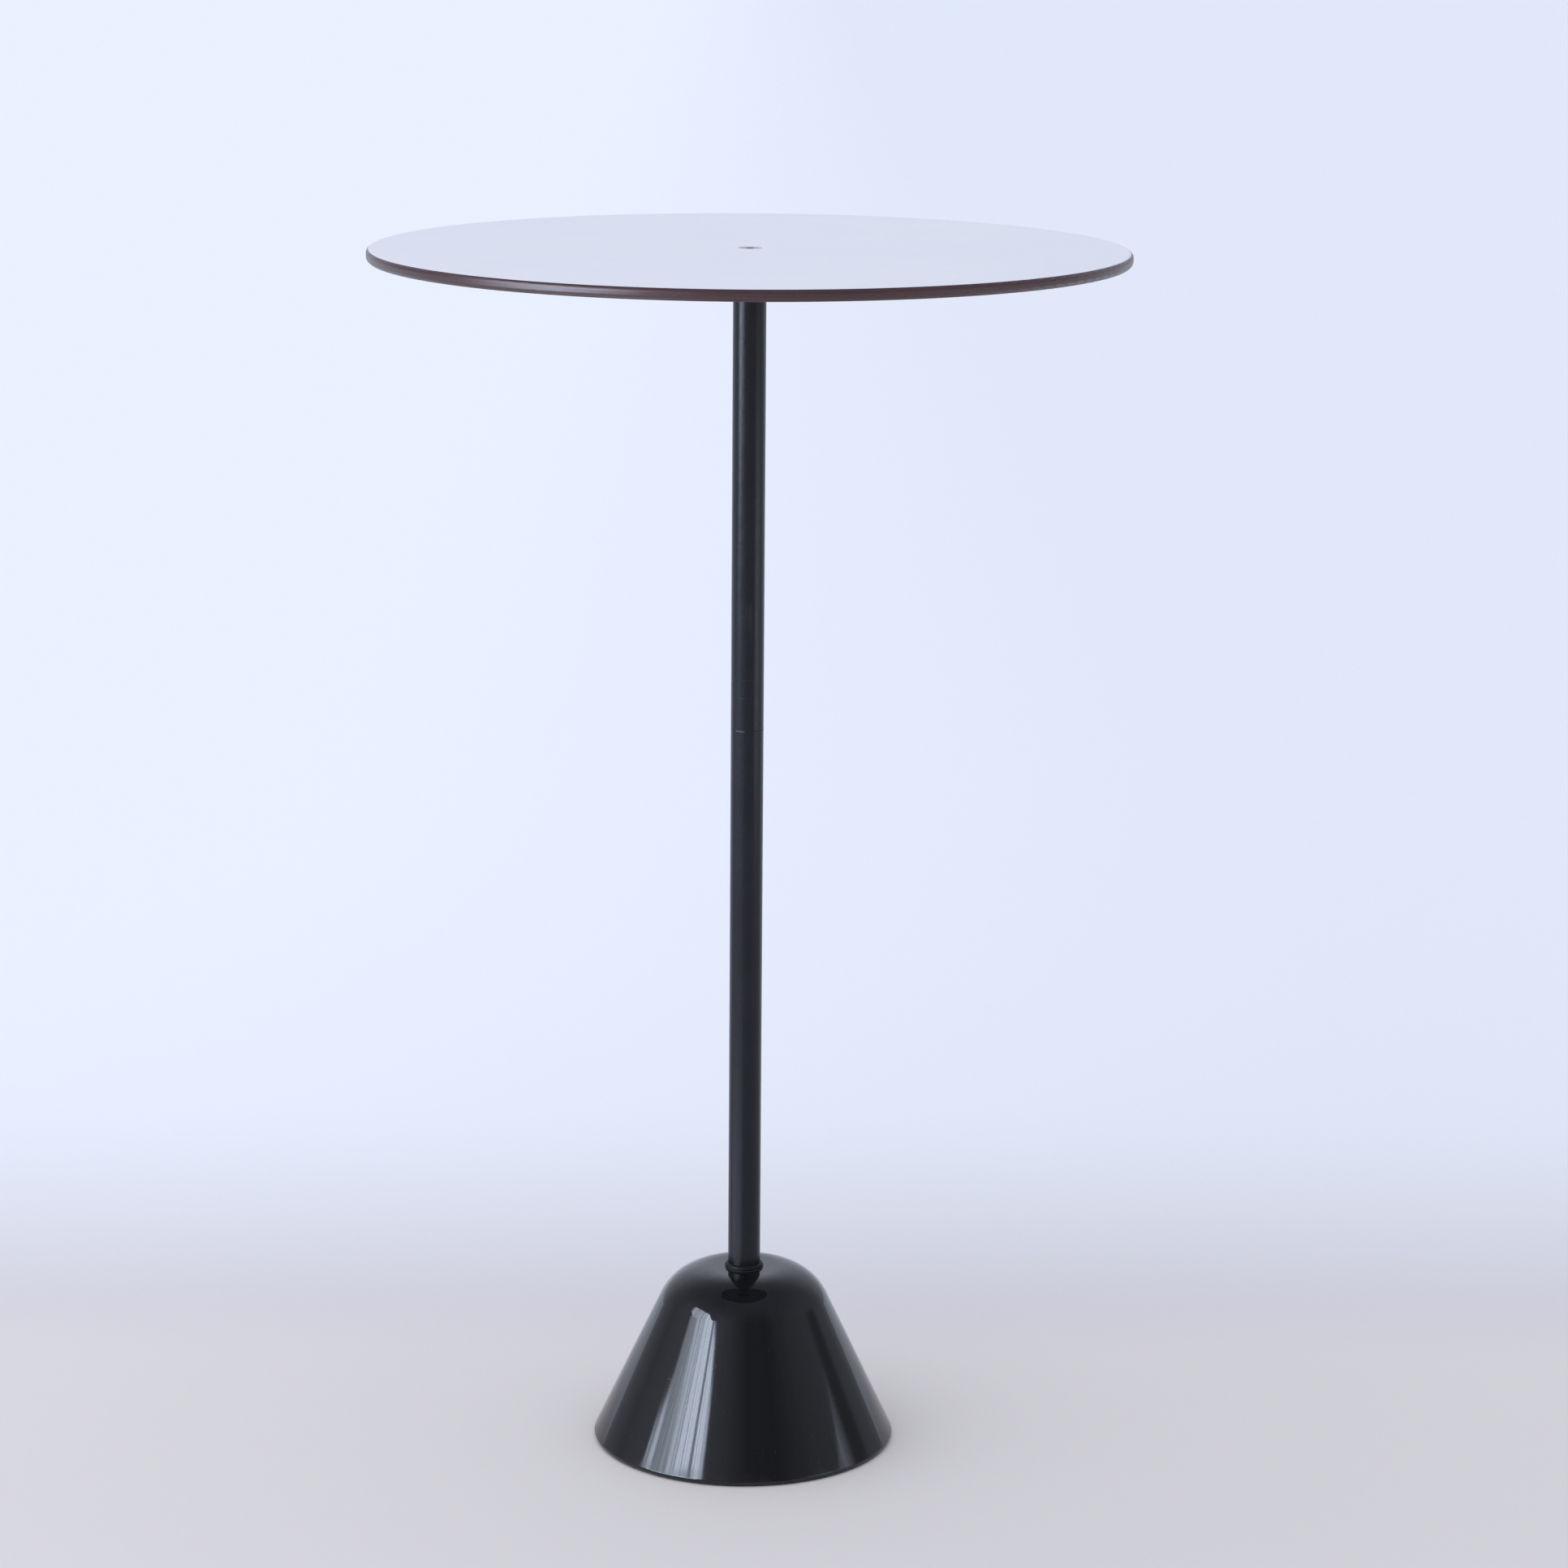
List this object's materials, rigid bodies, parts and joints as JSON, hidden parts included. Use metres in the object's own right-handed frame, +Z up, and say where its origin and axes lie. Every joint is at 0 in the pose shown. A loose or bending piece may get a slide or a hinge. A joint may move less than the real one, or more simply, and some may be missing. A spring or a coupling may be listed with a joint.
{
  "type": "wine table",
  "caption": "Tall round drinks table: thin white laminate top with a brown core rim, slim black pole with a seam, weighted bell-shaped glossy black base.",
  "frame": {"origin": "on the floor, under the middle of the base", "axes": "+Z up along the pole; the table is round, so +X and +Y are only the first cover screw's side and the direction that the picture looks along"},
  "size_m": [0.5, 0.5, 0.82],
  "materials": {
    "phenolic_core": "satin",
    "white_decor": "satin",
    "grey_backing": "matte",
    "zinc_steel": "satin",
    "plain_steel": "satin",
    "black_paint": "satin",
    "black_rubber": "matte",
    "black_gloss_plastic": "gloss",
    "black_board": "matte",
    "cement": "matte"
  },
  "bodies": {
    "root": {"tabletop_core": "phenolic_core", "tabletop_face": "white_decor", "tabletop_backing": "grey_backing", "top_screw": "zinc_steel", "base_bolt": "zinc_steel", "spring_washer": "zinc_steel", "bolt_washer": "zinc_steel", "cover_screws": "zinc_steel", "joint_stud": "zinc_steel", "pole_head_plug": "plain_steel", "upper_joint_plug": "plain_steel", "lower_joint_plug": "plain_steel", "pole_foot_plug": "plain_steel", "support_flange": "black_paint", "upper_pole": "black_paint", "lower_pole": "black_paint", "flange_pad": "black_rubber", "pole_collar": "black_rubber", "foot_ring": "black_rubber", "base_shell": "black_gloss_plastic", "bottom_cover": "black_board", "ballast": "cement"}
  },
  "joints": []
}
